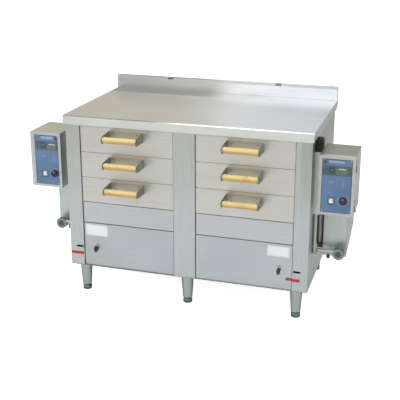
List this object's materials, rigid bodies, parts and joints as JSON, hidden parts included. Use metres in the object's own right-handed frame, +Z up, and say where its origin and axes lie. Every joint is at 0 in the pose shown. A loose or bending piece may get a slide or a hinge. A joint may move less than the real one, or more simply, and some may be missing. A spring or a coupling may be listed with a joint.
{
  "type": "electric drawer steamer",
  "caption": "Stainless floor-standing food steamer with drawers under a worktop, wooden bar handles, side control boxes and side feed tanks.",
  "frame": {"origin": "on the floor under the middle of the whole object's box", "axes": "+Z up, +X to the right of someone who faces the drawers, +Y to the rear"},
  "size_m": [1.48, 0.7456, 0.914],
  "materials": {
    "brushed_steel": "brushed",
    "drawer_steel": "brushed",
    "liner_steel": "smooth rolled",
    "leg_steel": "satin",
    "box_steel": "satin",
    "tank_steel": "satin",
    "heater_metal": "matte",
    "fitting_metal": "satin",
    "lock_metal": "satin",
    "wood": "oiled",
    "foot_black": "matte",
    "bush_black": "matte",
    "knob_black": "matte",
    "button_white": "gloss",
    "glass": "clear"
  },
  "bodies": {
    "cabinet": {"worktop": "brushed_steel", "base_pan": "brushed_steel", "front_frame": "brushed_steel", "back_panel": "brushed_steel", "leg_front_left": "leg_steel", "leg_front_centre": "leg_steel", "leg_front_right": "leg_steel", "leg_rear_left": "leg_steel", "leg_rear_centre": "leg_steel", "leg_rear_right": "leg_steel", "side_panel_left": "brushed_steel", "fascia_left": "brushed_steel", "lower_panel_left": "brushed_steel", "steam_chamber_left": "liner_steel", "heater_left": "heater_metal", "control_box_left": "box_steel", "cable_bush_left": "bush_black", "feed_tank_left": "tank_steel", "gauge_glass_left": "glass", "inlet_union_left": "fitting_metal", "side_panel_right": "brushed_steel", "fascia_right": "brushed_steel", "lower_panel_right": "brushed_steel", "steam_chamber_right": "liner_steel", "heater_right": "heater_metal", "control_box_right": "box_steel", "cable_bush_right": "bush_black", "feed_tank_right": "tank_steel", "gauge_glass_right": "glass", "inlet_union_right": "fitting_metal"},
    "foot_front_left": {"foot_front_left": "foot_black"},
    "foot_front_centre": {"foot_front_centre": "foot_black"},
    "foot_front_right": {"foot_front_right": "foot_black"},
    "foot_rear_left": {"foot_rear_left": "foot_black"},
    "foot_rear_centre": {"foot_rear_centre": "foot_black"},
    "foot_rear_right": {"foot_rear_right": "foot_black"},
    "drawer_left_1": {"drawer_left_1": "drawer_steel", "handle_grip_left_1": "wood"},
    "drawer_left_2": {"drawer_left_2": "drawer_steel", "handle_grip_left_2": "wood"},
    "drawer_left_3": {"drawer_left_3": "drawer_steel", "handle_grip_left_3": "wood"},
    "control_door_left": {"control_door_left": "box_steel"},
    "timer_dial_left": {"timer_dial_left": "knob_black"},
    "start_button_left": {"start_button_left": "button_white"},
    "door_lock_left": {"door_lock_left": "lock_metal"},
    "drain_knob_left": {"drain_knob_left": "knob_black"},
    "tank_cock_left": {"tank_cock_left": "knob_black"},
    "drawer_right_1": {"drawer_right_1": "drawer_steel", "handle_grip_right_1": "wood"},
    "drawer_right_2": {"drawer_right_2": "drawer_steel", "handle_grip_right_2": "wood"},
    "drawer_right_3": {"drawer_right_3": "drawer_steel", "handle_grip_right_3": "wood"},
    "control_door_right": {"control_door_right": "box_steel"},
    "timer_dial_right": {"timer_dial_right": "knob_black"},
    "start_button_right": {"start_button_right": "button_white"},
    "door_lock_right": {"door_lock_right": "lock_metal"},
    "drain_knob_right": {"drain_knob_right": "knob_black"},
    "tank_cock_right": {"tank_cock_right": "knob_black"}
  },
  "joints": [
    {"name": "foot_turn_front_left", "type": "hinge", "parent": "cabinet", "child": "foot_front_left", "pos_m": [-0.499, -0.24325, 0], "axis": [0, 0, 1], "continuous": true},
    {"name": "foot_turn_front_centre", "type": "hinge", "parent": "cabinet", "child": "foot_front_centre", "pos_m": [0, -0.24325, 0], "axis": [0, 0, 1], "continuous": true},
    {"name": "foot_turn_front_right", "type": "hinge", "parent": "cabinet", "child": "foot_front_right", "pos_m": [0.499, -0.24325, 0], "axis": [0, 0, 1], "continuous": true},
    {"name": "foot_turn_rear_left", "type": "hinge", "parent": "cabinet", "child": "foot_rear_left", "pos_m": [-0.499, 0.29475, 0], "axis": [0, 0, 1], "continuous": true},
    {"name": "foot_turn_rear_centre", "type": "hinge", "parent": "cabinet", "child": "foot_rear_centre", "pos_m": [0, 0.29475, 0], "axis": [0, 0, 1], "continuous": true},
    {"name": "foot_turn_rear_right", "type": "hinge", "parent": "cabinet", "child": "foot_rear_right", "pos_m": [0.499, 0.29475, 0], "axis": [0, 0, 1], "continuous": true},
    {"name": "drawer_slide_left_1", "type": "slide", "parent": "cabinet", "child": "drawer_left_1", "axis": [0, -1, 0], "range_m": [0, 0.4]},
    {"name": "drawer_slide_left_2", "type": "slide", "parent": "cabinet", "child": "drawer_left_2", "axis": [0, -1, 0], "range_m": [0, 0.4]},
    {"name": "drawer_slide_left_3", "type": "slide", "parent": "cabinet", "child": "drawer_left_3", "axis": [0, -1, 0], "range_m": [0, 0.4]},
    {"name": "control_door_hinge_left", "type": "hinge", "parent": "cabinet", "child": "control_door_left", "pos_m": [-0.736, -0.2671, 0.505], "axis": [0, 0, -1], "range_deg": [0, 110]},
    {"name": "timer_dial_turn_left", "type": "hinge", "parent": "control_door_left", "child": "timer_dial_left", "pos_m": [-0.615, -0.28925, 0.572], "axis": [0, 1, 0], "range_deg": [0, 300]},
    {"name": "start_button_push_left", "type": "slide", "parent": "control_door_left", "child": "start_button_left", "axis": [0, 1, 0], "range_m": [0, 0.003], "stiffness_N_per_m": 400, "springref_m": -0.001},
    {"name": "door_lock_turn_left", "type": "hinge", "parent": "control_door_left", "child": "door_lock_left", "pos_m": [-0.606, -0.28925, 0.734], "axis": [0, -1, 0], "range_deg": [0, 90]},
    {"name": "drain_knob_turn_left", "type": "hinge", "parent": "cabinet", "child": "drain_knob_left", "pos_m": [-0.426, -0.28755, 0.22686], "axis": [0, 1, 0], "range_deg": [0, 90]},
    {"name": "tank_cock_turn_left", "type": "hinge", "parent": "cabinet", "child": "tank_cock_left", "pos_m": [-0.618, -0.15325, 0.2734], "axis": [0, 0, 1], "range_deg": [0, 90]},
    {"name": "drawer_slide_right_1", "type": "slide", "parent": "cabinet", "child": "drawer_right_1", "axis": [0, -1, 0], "range_m": [0, 0.4]},
    {"name": "drawer_slide_right_2", "type": "slide", "parent": "cabinet", "child": "drawer_right_2", "axis": [0, -1, 0], "range_m": [0, 0.4]},
    {"name": "drawer_slide_right_3", "type": "slide", "parent": "cabinet", "child": "drawer_right_3", "axis": [0, -1, 0], "range_m": [0, 0.4]},
    {"name": "control_door_hinge_right", "type": "hinge", "parent": "cabinet", "child": "control_door_right", "pos_m": [0.736, -0.2671, 0.505], "axis": [0, 0, 1], "range_deg": [0, 110]},
    {"name": "timer_dial_turn_right", "type": "hinge", "parent": "control_door_right", "child": "timer_dial_right", "pos_m": [0.686, -0.28925, 0.572], "axis": [0, 1, 0], "range_deg": [0, 300]},
    {"name": "start_button_push_right", "type": "slide", "parent": "control_door_right", "child": "start_button_right", "axis": [0, 1, 0], "range_m": [0, 0.003], "stiffness_N_per_m": 400, "springref_m": -0.001},
    {"name": "door_lock_turn_right", "type": "hinge", "parent": "control_door_right", "child": "door_lock_right", "pos_m": [0.606, -0.28925, 0.734], "axis": [0, 1, 0], "range_deg": [0, 90]},
    {"name": "drain_knob_turn_right", "type": "hinge", "parent": "cabinet", "child": "drain_knob_right", "pos_m": [0.426, -0.28755, 0.22686], "axis": [0, 1, 0], "range_deg": [0, 90]},
    {"name": "tank_cock_turn_right", "type": "hinge", "parent": "cabinet", "child": "tank_cock_right", "pos_m": [0.618, -0.15325, 0.2734], "axis": [0, 0, 1], "range_deg": [0, 90]}
  ]
}
